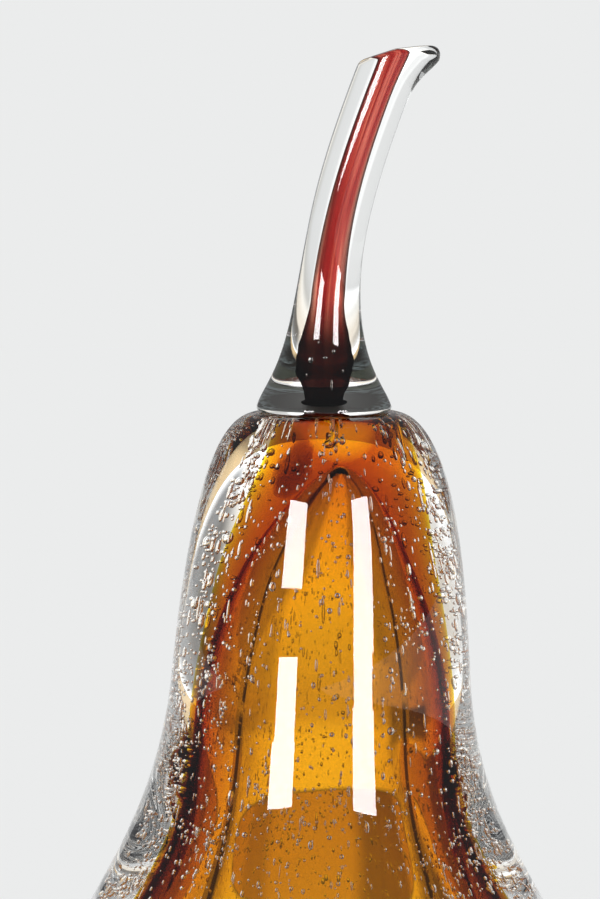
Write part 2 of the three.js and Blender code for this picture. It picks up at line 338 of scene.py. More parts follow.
def body_lean(height):
    """Sideways shift of the body at a height: the lean times a smooth step up the neck."""
    body = settings()[0]
    low = body.height - body.neck_lean_depth
    return body.neck_lean * smoothstep(height, low, body.height - body.lean_end_depth)


def amber_lean(height):
    """Sideways shift of the amber: the body's, plus a constant, plus the lean of its tip."""
    body, amber = settings()[:2]
    low = body.height - amber.tip_lean_depth
    tip = smoothstep(height, low, body.height - body.lean_end_depth)
    return body_lean(height) + amber.shift + amber.tip_lean * tip


def layer_outline(mouth, mouth_pull, neck, taper, reach, bulb, bulb_reach, floor, floor_reach, steps):
    """Outline of a layer as three Bezier curves: mouth to neck, neck to bulb, bulb to floor."""
    along = np.array([taper, -1.0]) / math.hypot(taper, 1)
    upper = bezier(mouth, mouth_pull, -along * reach[0], neck, steps)
    waist = bezier(neck, along * reach[1], (0, bulb_reach[0]), bulb, steps)
    lower = bezier(bulb, (0, -bulb_reach[1]), (floor_reach, 0), floor, steps)
    return chain(upper, waist, lower)


def casing_outline(steps):
    """Outer outline of the body from the edge of its seat to the edge of its ground ring."""
    body = settings()[0]
    return layer_outline(
        mouth=(body.seat_radius, body.height),
        mouth_pull=(10.3 * MM, 0),
        neck=(body.neck_radius, body.height - body.neck_depth),
        taper=0.07,
        reach=(27.7 * MM, 43.9 * MM),
        bulb=(body.bulb_radius, body.bulb_height),
        bulb_reach=(40.6 * MM, 36 * MM),
        floor=(body.base_radius, 0),
        floor_reach=17 * MM,
        steps=steps,
    )


def amber_outline(steps, mouth_wall=0.0, neck_wall=0.0, bulb_wall=0.0, floor_wall=0.0):
    """Outline of the amber from its mouth to its floor, or of a layer round it with the walls given."""
    body, amber = settings()[:2]
    return layer_outline(
        mouth=(amber.mouth_radius + mouth_wall, body.height),
        mouth_pull=(6.5 * MM, -11.5 * MM),
        neck=(amber.neck_radius + neck_wall, body.height - amber.neck_depth),
        taper=0.03,
        reach=(19 * MM, 38 * MM),
        bulb=(amber.bulb_radius + bulb_wall, amber.bulb_height),
        bulb_reach=(22 * MM, 23 * MM),
        floor=(0, amber.floor_height - floor_wall),
        floor_reach=21 * MM,
        steps=steps,
    )


def cavity_outline(steps, tip=0.0, neck=0.0, bulb=0.0):
    """Outline of the air inside the amber, from the tip of its dome to its floor, grown by what is given."""
    body, amber = settings()[:2]
    return layer_outline(
        mouth=(0, body.height - amber.cavity_depth + tip),
        mouth_pull=(6 * MM, -0.6 * MM),
        neck=(amber.neck_radius - amber.wall + neck, body.height - amber.neck_depth),
        taper=0.03,
        reach=(27 * MM, 38 * MM),
        bulb=(amber.bulb_radius - amber.wall + bulb, amber.bulb_height),
        bulb_reach=(22 * MM, 23 * MM),
        floor=(0, amber.floor_height + amber.wall - bulb),
        floor_reach=21 * MM,
        steps=steps,
    )


class Wire:
    """A shader socket with arithmetic: each operation adds a Math node and gives its result as a Wire."""

    def __init__(self, shader, socket):
        self.shader, self.socket = shader, socket

    def _math(self, operation, *values):
        return self.shader.node("ShaderNodeMath", {"operation": operation}, dict(enumerate(values)))

    def __add__(self, other):
        return self._math("ADD", self, other)

    def __radd__(self, other):
        return self._math("ADD", other, self)

    def __sub__(self, other):
        return self._math("SUBTRACT", self, other)

    def __rsub__(self, other):
        return self._math("SUBTRACT", other, self)

    def __mul__(self, other):
        return self._math("MULTIPLY", self, other)

    def __rmul__(self, other):
        return self._math("MULTIPLY", other, self)

    def __truediv__(self, other):
        return self._math("DIVIDE", self, other)

    def __rtruediv__(self, other):
        return self._math("DIVIDE", other, self)

    def __pow__(self, other):
        return self._math("POWER", self, other)

    def __rpow__(self, other):
        return self._math("POWER", other, self)

    def __abs__(self):
        return self._math("ABSOLUTE", self)


class Shader:
    """Builds the nodes of one material or world."""

    def __init__(self, owner):
        owner.use_nodes = True
        self.tree = owner.node_tree
        self.tree.nodes.clear()

    def node(self, kind, choices=None, sockets=None, output=0):
        """Adds a node, sets its choices, fills its sockets with values or wires, and gives one output."""
        made = self.tree.nodes.new(kind)
        for name, value in (choices or {}).items():
            if name == "stops":
                self._stops(made.color_ramp, value)
            else:
                setattr(made, name, value)
        for name, value in (sockets or {}).items():
            if isinstance(value, Wire):
                self.tree.links.new(value.socket, made.inputs[name])
            else:
                made.inputs[name].default_value = value
        return Wire(self, made.outputs[output]) if made.outputs else made

    @staticmethod
    def _stops(ramp, stops):
        while len(ramp.elements) < len(stops):
            ramp.elements.new(0.5)
        for element, (place, value) in zip(ramp.elements, stops):
            element.position = place
            element.color = (*value, 1) if isinstance(value, tuple) else (value, value, value, 1)

    def ramp(self, factor, stops):
        """A value or colour that follows a factor through the stops."""
        return self.node("ShaderNodeValToRGB", {"stops": stops}, {"Fac": factor})

    def step(self, value, low, high, start=0.0, end=1.0):
        """Goes smoothly from one number to another while a value goes from low to high."""
        sockets = {"Value": value, "From Min": low, "From Max": high, "To Min": start, "To Max": end}
        return self.node("ShaderNodeMapRange", {"interpolation_type": "SMOOTHSTEP"}, sockets)

    def fall(self, value, low, high):
        """Goes smoothly from 1 to 0 while a value goes from low to high."""
        return self.step(value, low, high, 1.0, 0.0)

    def between(self, value, rise, fall):
        """1 between two edges, each given as the stretch where it fades, and 0 outside them."""
        return self.step(value, *rise) * self.fall(value, *fall)

    def other(self, wire, name):
        """Another output, by its name, of the node that a wire comes from."""
        return Wire(self, wire.socket.node.outputs[name])

    def place(self):
        """The shaded point in the piece's own frame."""
        return self.node("ShaderNodeTexCoord", output=3)

    def parts(self, wire):
        """The x, y and z of a wire that carries a vector."""
        x = self.node("ShaderNodeSeparateXYZ", sockets={0: wire})
        return x, self.other(x, "Y"), self.other(x, "Z")

    def mix_colour(self, factor, first, second):
        """Mixes two colours."""
        sockets = {0: factor, 6: first, 7: second}
        return self.node("ShaderNodeMix", {"data_type": "RGBA"}, sockets, output=2)

    def glass(self, ior, colour=(1, 1, 1, 1), **sockets):
        """Smooth glass of one index, whose surface colours what it lets through."""
        plain = {"Base Color": colour, "Roughness": 0.0, "IOR": ior, "Transmission Weight": 1.0}
        return self.node("ShaderNodeBsdfPrincipled", sockets={**plain, **sockets})

    def absorbing(self, colour_passed, density):
        """A volume that lets one colour through."""
        sockets = {"Color": rgba(colour_passed), "Density": density}
        return self.node("ShaderNodeVolumeAbsorption", sockets=sockets)

    def glow(self, colour, strength):
        """A surface that gives light."""
        return self.node("ShaderNodeEmission", sockets={"Color": colour, "Strength": strength})

    def ends(self, **sockets):
        """Adds the material's output."""
        self.node("ShaderNodeOutputMaterial", sockets=sockets)


def rgba(value):
    """A colour property as the four numbers that a socket takes."""
    return (*value, 1.0)


def new_material(name):
    """An empty material and the Shader that builds its nodes."""
    material = bpy.data.materials.new(name)
    return material, Shader(material)


def polished_clear_glass():
    """Fire-polished clear glass against air, faintly tinted, with drawn-out cords that bend the light."""
    finish = settings()[3]
    material, shader = new_material("polished_clear_glass")
    drawn = shader.node("ShaderNodeMapping", sockets={"Vector": shader.place(), "Scale": (260, 260, 30)})
    cords = shader.node("ShaderNodeTexNoise", sockets={"Vector": drawn, "Scale": 1.0, "Detail": 2.0})
    bump = shader.node("ShaderNodeBump", sockets={"Height": cords, "Strength": 0.1, "Distance": 0.00002})
    shader.ends(Surface=shader.glass(finish.ior, rgba(finish.clear_tint), Normal=bump))
    return material


def fused_glass_seam():
    """The seam where one gather is fused to the next: glass on both sides, so light goes straight on."""
    material, shader = new_material("fused_glass_seam")
    shader.ends(Surface=shader.glass(FUSED_IOR))
    return material


def seed_bubble_wall():
    """The wall of a seed bubble: glass round air."""
    material, shader = new_material("seed_bubble_wall")
    shader.ends(Surface=shader.glass(settings()[3].ior))
    return material


def painted_foot_underside():
    """Painted light and shade under the foot: an opaque ring painted grey-green at its rim and nearly black
    within, with paler ticks.
    """
    # Painted highlight colours (grey-green rim, pale ticks) and painted shade (the nearly black middle).
    rim_colour, tick_colour = (0.16, 0.18, 0.13, 1), (0.33, 0.4, 0.4, 1)
    middle_colour = (0.03, 0.025, 0.015, 1)
    centre = 0.0013
    material, shader = new_material("painted_foot_underside")
    place = shader.place()
    x, y, _ = shader.parts(place)
    radius = ((x - centre) * (x - centre) + y * y) ** 0.5
    marks = shader.node("ShaderNodeTexNoise", sockets={"Vector": place, "Scale": 900.0, "Detail": 2.0})
    ticks = shader.step(marks, 0.4, 0.6) * shader.step(radius, 0.007, 0.0095)
    middle = shader.mix_colour(ticks, middle_colour, tick_colour)
    colour_of = shader.mix_colour(shader.step(radius, 0.0102, 0.0108), middle, rim_colour)
    sockets = {"Base Color": colour_of, "Roughness": 0.6}
    shader.ends(Surface=shader.node("ShaderNodeBsdfPrincipled", sockets=sockets))
    return material


def absorbing_glass(name, colour_passed, density):
    """Coloured glass fused inside clear glass: only its colour shows, and it deepens with its thickness."""
    material, shader = new_material(name)
    shader.ends(Surface=shader.glass(FUSED_IOR), Volume=shader.absorbing(colour_passed, density))
    return material


def streaked_burgundy_glass():
    """Burgundy glass drawn into lengthwise ribbons that lie front to back, darker towards its knob, and
    blackened by painted shade at the sides that face left and right from the front.

    The "cane" attribute is the point on the straight cane, in units of the cane's radius.
    """
    finish = settings()[3]
    material, shader = new_material("streaked_burgundy_glass")
    cane = shader.node("ShaderNodeAttribute", {"attribute_name": "cane"}, output=1)
    drawn = shader.node("ShaderNodeMapping", sockets={"Vector": cane, "Scale": (1.0, 0.12, 0.012)})
    noise = {"Vector": drawn, "Scale": 3.0, "Detail": 3.0, "Roughness": 0.6}
    streaks = shader.node("ShaderNodeTexNoise", sockets=noise)
    dark, red, salmon = (0.2, 0.012, 0.012), (0.36, 0.085, 0.06), (0.52, 0.25, 0.19)
    colour_of = shader.ramp(streaks, [(0.44, dark), (0.52, red), (0.6, salmon)])
    x, y, along = shader.parts(cane)
    # Painted shade: the sides that face left and right from the front are darkened to black; the knob end is
    # darker too.
    side = abs(x) / (x * x + y * y) ** 0.5
    light = shader.step(along, 5.0, 11.5, 0.05, 1.0) * shader.step(side, 0.8, 0.97, 1.0, 0.12)
    colour_of = shader.mix_colour(1 - light, colour_of, (0, 0, 0, 1))
    volume = shader.absorbing(finish.burgundy_pass, finish.burgundy_density)
    shader.ends(Surface=shader.glass(FUSED_IOR, colour_of), Volume=volume)
    return material


def shared(make):
    """A material, made the first time that it is asked for."""
    return bpy.data.materials.get(make.__name__) or make()


def hand_made(grid):
    """Makes a body's surface slightly uneven: its radius shrinks by up to the ripple, in slow waves."""
    body = settings()[0]
    x, y, z = grid[..., 0], grid[..., 1], grid[..., 2]
    around = np.arctan2(y, x)
    wave = np.sin(2 * around + 1.1 + z * 31) + np.sin(3 * around - 0.7 - z * 47) + np.sin(z * 120 + around)
    radius = np.hypot(x, y)
    even_seat, even_base = 0.2 * body.seat_radius, 0.1 * body.height
    inward = body.ripple * (3 + wave) / 6 * smoothstep(radius, even_seat, body.neck_radius)
    inward = inward * smoothstep(z, 0, even_base)
    scale = 1 - inward / np.maximum(radius, MM)
    return np.stack([x * scale, y * scale, z], axis=-1)


class GLASSPEAR_OT_clear_gather(bpy.types.Operator):
    """Clear outer glass with the pear's outline, the pontil mark and the wall of the air inside the amber"""

    bl_idname = "glass_pear.clear_gather"
    bl_label = "Clear gather"

    def execute(self, context):
        body = settings()[0]
        top = line((0, body.height), (body.seat_radius, body.height), 8)
        base = line((body.base_radius, 0), (body.pontil_radius, 0), 6)
        middle = (0, body.pontil_depth)
        pontil = bezier((body.pontil_radius, 0), (-2 * MM, body.pontil_depth), (5 * MM, 0), middle, 12)
        profile = chain(top, casing_outline(64), base, pontil)
        fused_radius = 0.26 * body.seat_radius
        bands = np.where(profile[:-1, 0] < fused_radius, 1, 0)
        bands[len(top):] = 0
        surface = Surface()
        surface.add_closed(hand_made(revolve(profile, body_lean, 160)), bands)
        cavity = cavity_outline(48)
        surface.add_closed(revolve(cavity, amber_lean, 128), inward=True)
        materials = [shared(polished_clear_glass), shared(fused_glass_seam)]
        piece = surface.make("clear_gather_glass", materials)
        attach(piece, BODY)
        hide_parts("outer_clear_gather")
        return {"FINISHED"}


def unit_bubble(around=8, rings=4):
    """A unit sphere of few faces, facing inwards, because a bubble is a hole in the glass."""
    rise = np.linspace(0, np.pi, rings + 2)[1:-1]
    turn = np.linspace(0, 2 * np.pi, around, endpoint=False)
    ring = ring_points(np.sin(rise)[:, None], turn, np.cos(rise)[:, None]).reshape(-1, 3)
    points = np.concatenate([[[0, 0, 1]], ring, [[0, 0, -1]]])
    step, after = np.arange(around), np.roll(np.arange(around), -1)
    faces = [np.stack([np.zeros(around, int), 1 + after, 1 + step], axis=-1)]
    for row in range(rings - 1):
        low, high = 1 + row * around, 1 + (row + 1) * around
        faces.append(np.stack([low + step, low + after, high + after], axis=-1))
        faces.append(np.stack([low + step, high + after, high + step], axis=-1))
    end = 1 + (rings - 1) * around
    faces.append(np.stack([end + step, end + after, np.full(around, len(points) - 1)], axis=-1))
    return points, np.concatenate(faces)


def repeated(faces, points, times):
    """Triangles of a shape that has so many points, repeated for its copies, one after the other."""
    return (faces[None] + points * np.arange(times)[:, None, None]).reshape(-1, 3)


def seed_bubbles(count, middle, spread, lift, generator):
    """Points and triangles of bubbles spread through the bubbled glass, lone and in clumps, more lower down.

    A bubble is a unit sphere times its radius, drawn out upwards and slanted to follow the layer's outline.
    """
    body, amber = settings()[:2]
    inner = amber_outline(60)
    outer = amber_outline(60, amber.bubbled_mouth, amber.bubbled_neck, amber.bubbled_bulb, amber.bubbled_bulb)
    smallest, largest, longest = 0.12 * MM, 0.75 * MM, 2.4 * MM
    clumps, share_in_clumps, clump_spread = 70, 0.45, 3.5 * MM
    inner_skin, outer_skin = 0.4 * MM, 0.3 * MM
    radius = middle * np.exp(generator.normal(0, spread, count))
    radius = np.clip(radius, smallest, largest)
    stretch = np.minimum(1 + generator.gamma(0.5, 1.3, count), longest / radius)
    low, high = outer[-1, 1] + 2 * MM, body.height - 3 * MM
    height = low + (high - low) * generator.random(count) ** lift
    angle = generator.random(count) * 2 * np.pi
    clump = generator.integers(0, clumps, count)
    clump_height = low + (high - low) * generator.random(clumps) ** (1.2 * lift)
    clump_angle = generator.random(clumps) * 2 * np.pi
    joins = generator.random(count) < share_in_clumps
    drift = generator.normal(0, clump_spread, (2, count))
    height = np.clip(np.where(joins, clump_height[clump] + drift[0], height), low, high)
    angle = np.where(joins, clump_angle[clump] + drift[1] / (30 * MM), angle)
    near = np.interp(height, inner[::-1, 1], inner[::-1, 0], left=0) + radius + inner_skin
    far = np.interp(height, outer[::-1, 1], outer[::-1, 0]) - radius - outer_skin
    place = np.sqrt(near**2 + generator.random(count) * (np.maximum(far, near) ** 2 - near**2))
    slope = np.interp(height, inner[::-1, 1], np.gradient(inner[:, 0], inner[:, 1])[::-1])
    shape, faces = unit_bubble()
    size = radius[:, None] * shape[None, :, 2] * stretch[:, None]
    across = radius[:, None] * stretch[:, None] ** -0.3
    outward = place[:, None] + across * shape[None, :, 0] + np.clip(slope, -1, 1)[:, None] * size
    turn = angle[:, None] + across * shape[None, :, 1] / np.maximum(place, MM)[:, None]
    x = outward * np.cos(turn) + amber_lean(height)[:, None]
    points = np.stack([x, outward * np.sin(turn), height[:, None] + size], axis=-1).reshape(-1, 3)
    return points, repeated(faces, len(shape), count)


def tube(path, radius, depth, turns=16):
    """A closed tube round a path in the XZ plane: p + r (N cos a + Y sin a), with N square to the path."""
    tangent = np.gradient(path, axis=0)
    tangent /= np.linalg.norm(tangent, axis=1)[:, None]
    angle = np.linspace(0, 2 * np.pi, turns, endpoint=False)
    x = path[:, :1] - tangent[:, 1:] * radius[:, None] * np.cos(angle)
    z = path[:, 1:] + tangent[:, :1] * radius[:, None] * np.cos(angle)
    y = depth + radius[:, None] * np.sin(angle)
    return np.stack([x, y, z], axis=-1)


class GLASSPEAR_OT_bubbled_gather(bpy.types.Operator):
    """Inner clear glass full of seed bubbles, between the amber and the clear outer glass"""

    bl_idname = "glass_pear.bubbled_gather"
    bl_label = "Bubbled gather"

    def execute(self, context):
        body, amber = settings()[:2]
        generator = np.random.default_rng(RANDOM_SEED)
        top = body.height - SEAM
        surface = Surface()
        walls = (amber.bubbled_mouth, amber.bubbled_neck, amber.bubbled_bulb, amber.bubbled_bulb)
        for wall, inward in (walls, False), ((3 * SEAM,) * 4, True):
            profile = flat_top(amber_outline(28, *wall), top)
            surface.add_closed(revolve(profile, amber_lean, 72), 0, inward)
        surface.add_faces(*seed_bubbles(amber.bubble_count, amber.bubble_radius, 0.45, 1.5, generator), 1)
        materials = [shared(fused_glass_seam), shared(seed_bubble_wall)]
        piece = surface.make("bubbled_gather_glass", materials)
        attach(piece, BODY)
        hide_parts("bubbled_gather")
        for number in range(amber.swarms):
            swarm = Surface()
            swarm.add_faces(*seed_bubbles(amber.swarm_count, amber.swarm_radius, 0.3, 2.4, generator), 0)
            piece = swarm.make(f"fine_bubbles_{number + 1}", [shared(seed_bubble_wall)])
            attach(piece, BODY)
            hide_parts("bubbled_gather")
        return {"FINISHED"}


class GLASSPEAR_OT_amber_bubble(bpy.types.Operator):
    """Hollow amber bubble with a deep inner coat and a plug at its tip that holds a dark cloud and a hook"""

    bl_idname = "glass_pear.amber_bubble"
    bl_label = "Amber bubble"

    def heart(self):
        """The clear heart of the plug: an ellipsoid round the amber's own leaning axis."""
        half_width, half_height, depth = 5.2 * MM, 5.6 * MM, 7.1 * MM
        rise = np.linspace(0, np.pi, 22)
        height = settings()[0].height - depth + half_height * np.cos(rise)
        profile = np.stack([half_width * np.sin(rise), height], axis=-1)
        return revolve(profile, amber_lean, 40)

    def cloud(self):
        """A lumpy ellipsoid beside the hollow's tip, whose rings swell by a fifth and slant with the wall."""
        half_width, half_depth, half_height, slant = 2.7 * MM, 2.3 * MM, 5 * MM, 0.3
        rise = np.linspace(0, np.pi, 26)[:, None]
        angle = np.linspace(0, 2 * np.pi, 40, endpoint=False)
        lump = 1 + 0.12 * np.sin(3 * angle + 4 * rise) + 0.08 * np.sin(5 * angle - 7 * rise)
        up = half_height * np.cos(rise) + 0 * angle
        x = -3.1 * MM + slant * up + half_width * lump * np.sin(rise) * np.cos(angle)
        y = -3.5 * MM + half_depth * lump * np.sin(rise) * np.sin(angle)
        return np.stack([x, y, settings()[0].height - 13.3 * MM + up], axis=-1)

    def hook(self):
        """The closed mouth's trapped air: a drop drawn out upwards, whose lower end turns to the left."""
        seat = settings()[0].height
        top, end = (2.5 * MM, seat - 2.4 * MM), (1.2 * MM, seat - 9.4 * MM)
        path = bezier(top, (0.5 * MM, -4 * MM), (2.6 * MM, -0.9 * MM), end, 24)
        walk = np.linspace(0, 1, len(path))
        thickest = 0.75 * MM
        radius = thickest * np.sqrt(np.clip(1 - (2 * walk - 1) ** 4, 0, 1)) * (0.45 + 0.55 * walk)
        return tube(path, radius, -2 * MM)

    def execute(self, context):
        body, amber, _, finish = settings()[:4]
        outline = flat_top(amber_outline(64), body.height - 2 * SEAM)
        surface = Surface()
        surface.add_closed(revolve(outline, amber_lean, 128))
        surface.add_closed(revolve(cavity_outline(48, SEAM, SEAM, SEAM), amber_lean, 128), 0, inward=True)
        surface.add_closed(self.heart(), 0, inward=True)
        coat = cavity_outline(48, amber.coat_tip, amber.coat_neck, amber.coat_bulb)
        surface.add_closed(revolve(coat, amber_lean, 128), 1)
        hollow = cavity_outline(48, 2 * SEAM, 2 * SEAM, 2 * SEAM)
        surface.add_closed(revolve(hollow, amber_lean, 128), 1, inward=True)
        surface.add_closed(self.cloud(), 2)
        surface.add_closed(self.hook(), 3, inward=True)
        materials = [
            absorbing_glass("pale_amber_glass", finish.amber_pass, finish.amber_density),
            absorbing_glass("deep_amber_glass", finish.coat_pass, finish.coat_density),
            absorbing_glass("smoky_amber_glass", finish.smoke_pass, finish.smoke_density),
            shared(seed_bubble_wall),
        ]
        piece = surface.make("amber_bubble_glass", materials)
        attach(piece, BODY)
        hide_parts("amber_bubble")
        return {"FINISHED"}


class StemAxis:
    """The stem's axis: a Bezier curve in the XZ plane, walked by its length."""

    def __init__(self):
        body, _, stem = settings()[:3]
        foot = float(body_lean(np.array(body.height))) + stem.shift
        self.origin = np.array([foot, body.height + stem.gap])
        tip = np.array([stem.reach, stem.rise])
        lean = np.array([math.sin(stem.tip_lean), math.cos(stem.tip_lean)])
        self.points = bezier((0, 0), (0, stem.upright), -lean * stem.tip_pull, tip, 600)
        steps = np.linalg.norm(np.diff(self.points, axis=0), axis=1)
        self.travel = np.concatenate([[0], np.cumsum(steps)])
        self.length = self.travel[-1]
        self.stem = stem

    def bend(self, radial, across, along):
        """Carries a straight shape along the axis: axis(s) + u N + v Y + slant T, for its u, v and s.

        N leans to the side that the stem bends to, Y goes across, and the slant shears the end. On N's side
        the end gathers into a lip, and its edge sags.
        """
        stem = self.stem
        place = np.clip(along, 0, self.length)
        x = np.interp(place, self.travel, self.points[:, 0])
        z = np.interp(place, self.travel, self.points[:, 1])
        tangent = np.gradient(self.points, self.travel, axis=0)
        tangent /= np.linalg.norm(tangent, axis=1)[:, None]
        tx = np.interp(place, self.travel, tangent[:, 0])
        tz = np.interp(place, self.travel, tangent[:, 1])
        end = smoothstep(along, self.length - stem.shear_length, self.length)
        outer = np.maximum(radial, 0) / stem.shaft_radius
        sideways = radial + stem.tip_lip * outer * end**stem.lip_onset
        slant = (radial - stem.tip_sag * outer**stem.sag_onset) * math.tan(stem.shear_angle) * end
        world_x = self.origin[0] + x + tz * sideways + tx * slant
        world_z = self.origin[1] + z - tx * sideways + tz * slant
        return np.stack([world_x, across, world_z], axis=-1)

    def revolve(self, profile, turns, dent=None):
        """Grid turned about the bent axis, for profile points (radius, length along the axis)."""
        angle = np.linspace(0, 2 * np.pi, turns, endpoint=False)
        radius = np.broadcast_to(profile[:, :1], (len(profile), turns))
        along = np.broadcast_to(profile[:, 1:], radius.shape)
        if dent is not None:
            radius = radius * dent(angle, along)
        straight = ring_points(radius, angle, along)
        return self.bend(straight[..., 0], straight[..., 1], along), straight


class GLASSPEAR_OT_stem_casing(bpy.types.Operator):
    """Clear stem: flared foot, bent shaft and the softened end that the shears cut at a slant"""

    bl_idname = "glass_pear.stem_casing"
    bl_label = "Stem casing"

    def trapped_air(self, axis):
        """Unit spheres drawn out before the knob: each row says across, up, size and length in mm."""
        air = MM * np.array(
            [
                (-2.2, 10.0, 0.45, 0.7),
                (0.2, 10.6, 0.4, 0.35),
                (1.6, 11.9, 0.3, 0.45),
                (1.2, 4.6, 0.2, 1.3),
                (-0.9, 13.8, 0.18, 0.3),
                (-2.8, 6.8, 0.15, 0.3),
                (3.0, 7.6, 0.16, 0.4),
                (2.1, 15.5, 0.14, 0.5),
            ]
        )
        across, up, size, reach = air.T
        shell = 4.9 * MM
        front = -np.sqrt(shell**2 - across**2)
        shape, faces = unit_bubble()
        x = axis.origin[0] + (across[:, None] + size[:, None] * shape[:, 0])
        y = front[:, None] + size[:, None] * shape[:, 1]
        z = axis.origin[1] + up[:, None] + reach[:, None] * shape[:, 2]
        return np.stack([x, y, z], axis=-1).reshape(-1, 3), repeated(faces, len(shape), len(air))

    def execute(self, context):
        stem = settings()[2]
        axis = StemAxis()
        foot, shaft, end = stem.foot_radius, stem.shaft_radius, axis.length
        rounding = stem.tip_rounding
        underside = line((0, 0), (foot - stem.foot_rim, 0), 8)
        pull = ROUND_PULL * stem.foot_rim
        rim = bezier((foot - stem.foot_rim, 0), (pull, 0), (0, -pull), (foot, stem.foot_rim), 6)
        flare = bezier(
            (foot, stem.foot_rim),
            (-stem.flare_inward, stem.flare_foot_pull - stem.foot_rim),
            (0, -stem.flare_shaft_pull),
            (shaft, stem.flare_height),
            48,
        )
        run = line((shaft, stem.flare_height), (shaft, end - rounding), 48)
        pull = ROUND_PULL * rounding
        edge = bezier((shaft, end - rounding), (0, pull), (pull, 0), (shaft - rounding, end), 12)
        top = line((shaft - rounding, end), (0, end), 6)
        profile = chain(underside, rim, flare, run, edge, top)[::-1]
        bands = np.where(profile[1:, 1] < 1e-6, np.where(profile[:-1, 0] < 0.3 * foot, 1, 3), 0)
        surface = Surface()
        grid, _ = axis.revolve(profile, 96)
        surface.add_closed(grid, bands)
        surface.add_faces(*self.trapped_air(axis), 2)
        materials = [
            shared(polished_clear_glass),
            shared(fused_glass_seam),
            shared(seed_bubble_wall),
            painted_foot_underside(),
        ]
        piece = surface.make("stem_casing_glass", materials)
        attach(piece, BODY)
        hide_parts("stem_casing")
        return {"FINISHED"}


class GLASSPEAR_OT_stem_core(bpy.types.Operator):
    """Burgundy cane inside the stem, with its dented knob"""

    bl_idname = "glass_pear.stem_core"
    bl_label = "Stem core"

    def execute(self, context):
        stem = settings()[2]
        axis = StemAxis()
        low = 2 * SEAM
        end = axis.length - 4 * SEAM

        def dent(angle, along):
            """Shrinks the knob in dents: 1 - depth (0.5 + 0.5 cos 5a cos s), faded in and out along it."""
            knob = smoothstep(along, 0, stem.core_knob_pull)
            knob = knob * (1 - smoothstep(along, stem.knob_height, stem.knob_top))
            wave = np.cos(5 * angle) * np.cos(along / MM)
            return 1 - stem.knob_dent / stem.knob_radius * knob * (0.5 + 0.5 * wave)

        surface = Surface()
        foot = (stem.core_foot, low)
        knob = (stem.knob_radius, stem.knob_height)
        waist = (stem.core_radius, stem.knob_top)
        tip = (stem.core_tip, end)
        profile = chain(
            line((0, low), foot, 3),
            bezier(foot, (0, stem.core_foot_pull), (0, -stem.core_knob_pull), knob, 16),
            bezier(knob, (0, stem.core_knob_pull), (0, -stem.core_knob_pull), waist, 16),
            bezier(waist, (0, stem.core_waist_pull), (0, -stem.core_tip_pull), tip, 60),
            line(tip, (0, end), 3),
        )[::-1]
        grid, straight = axis.revolve(profile, 96, dent=dent)
        surface.add_closed(grid, extra=straight / stem.core_radius)
        piece = surface.make("stem_core_glass", [shared(streaked_burgundy_glass)], "cane")
        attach(piece, BODY)
        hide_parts("stem_core")
        return {"FINISHED"}


def stage_world(backdrop):
    """A pale room. The camera sees it plain, the floor is lit by it as white, and reflections see it dim.

    Through the glass it is a room of its own: pale ahead, a dark slit at each side, dimmer behind and above.
    """
    black, white, dim = (0, 0, 0, 1), (1, 1, 1, 1), (0.25, 0.25, 0.26, 1)
    scene = bpy.context.scene
    scene.world = bpy.data.worlds.new("pale_studio")
    shader = Shader(scene.world)
    camera = shader.node("ShaderNodeLightPath")
    x, y, up = shader.parts(shader.node("ShaderNodeTexCoord"))
    ahead = y / (x * x + y * y) ** 0.5
    behind = [(0.0, 0.55), (0.3, 0.55), (0.45, 0.75)]
    slit = [(0.62, 0.8), (0.63, 0.12), (0.662, 0.12), (0.672, 0.9)]
    room = shader.ramp(ahead * 0.5 + 0.5, [*behind, *slit, (1.0, 1.0)])
    seen_through = shader.mix_colour(room * shader.step(up, 0.65, 0.9, 1.0, 0.2), black, rgba(backdrop))
    lit = shader.mix_colour(shader.other(camera, "Is Glossy Ray"), white, dim)
    lit = shader.mix_colour(shader.other(camera, "Is Transmission Ray"), lit, seen_through)
    lit = shader.mix_colour(camera, lit, rgba(backdrop))
    light = shader.node("ShaderNodeBackground", sockets={"Color": lit, "Strength": 1.0})
    shader.node("ShaderNodeOutputWorld", sockets={"Surface": light})


def stage_piece(name, material, points, faces, *hidden_from):
    """A piece of the stage, unseen by some kinds of rays, and never sampled as a lamp."""
    material.cycles.emission_sampling = "NONE"
    surface = Surface()
    surface.add_faces(points, faces, 0)
    piece = surface.make(name, [material])
    for kind in hidden_from:
        setattr(piece, f"visible_{kind}", False)
    return piece


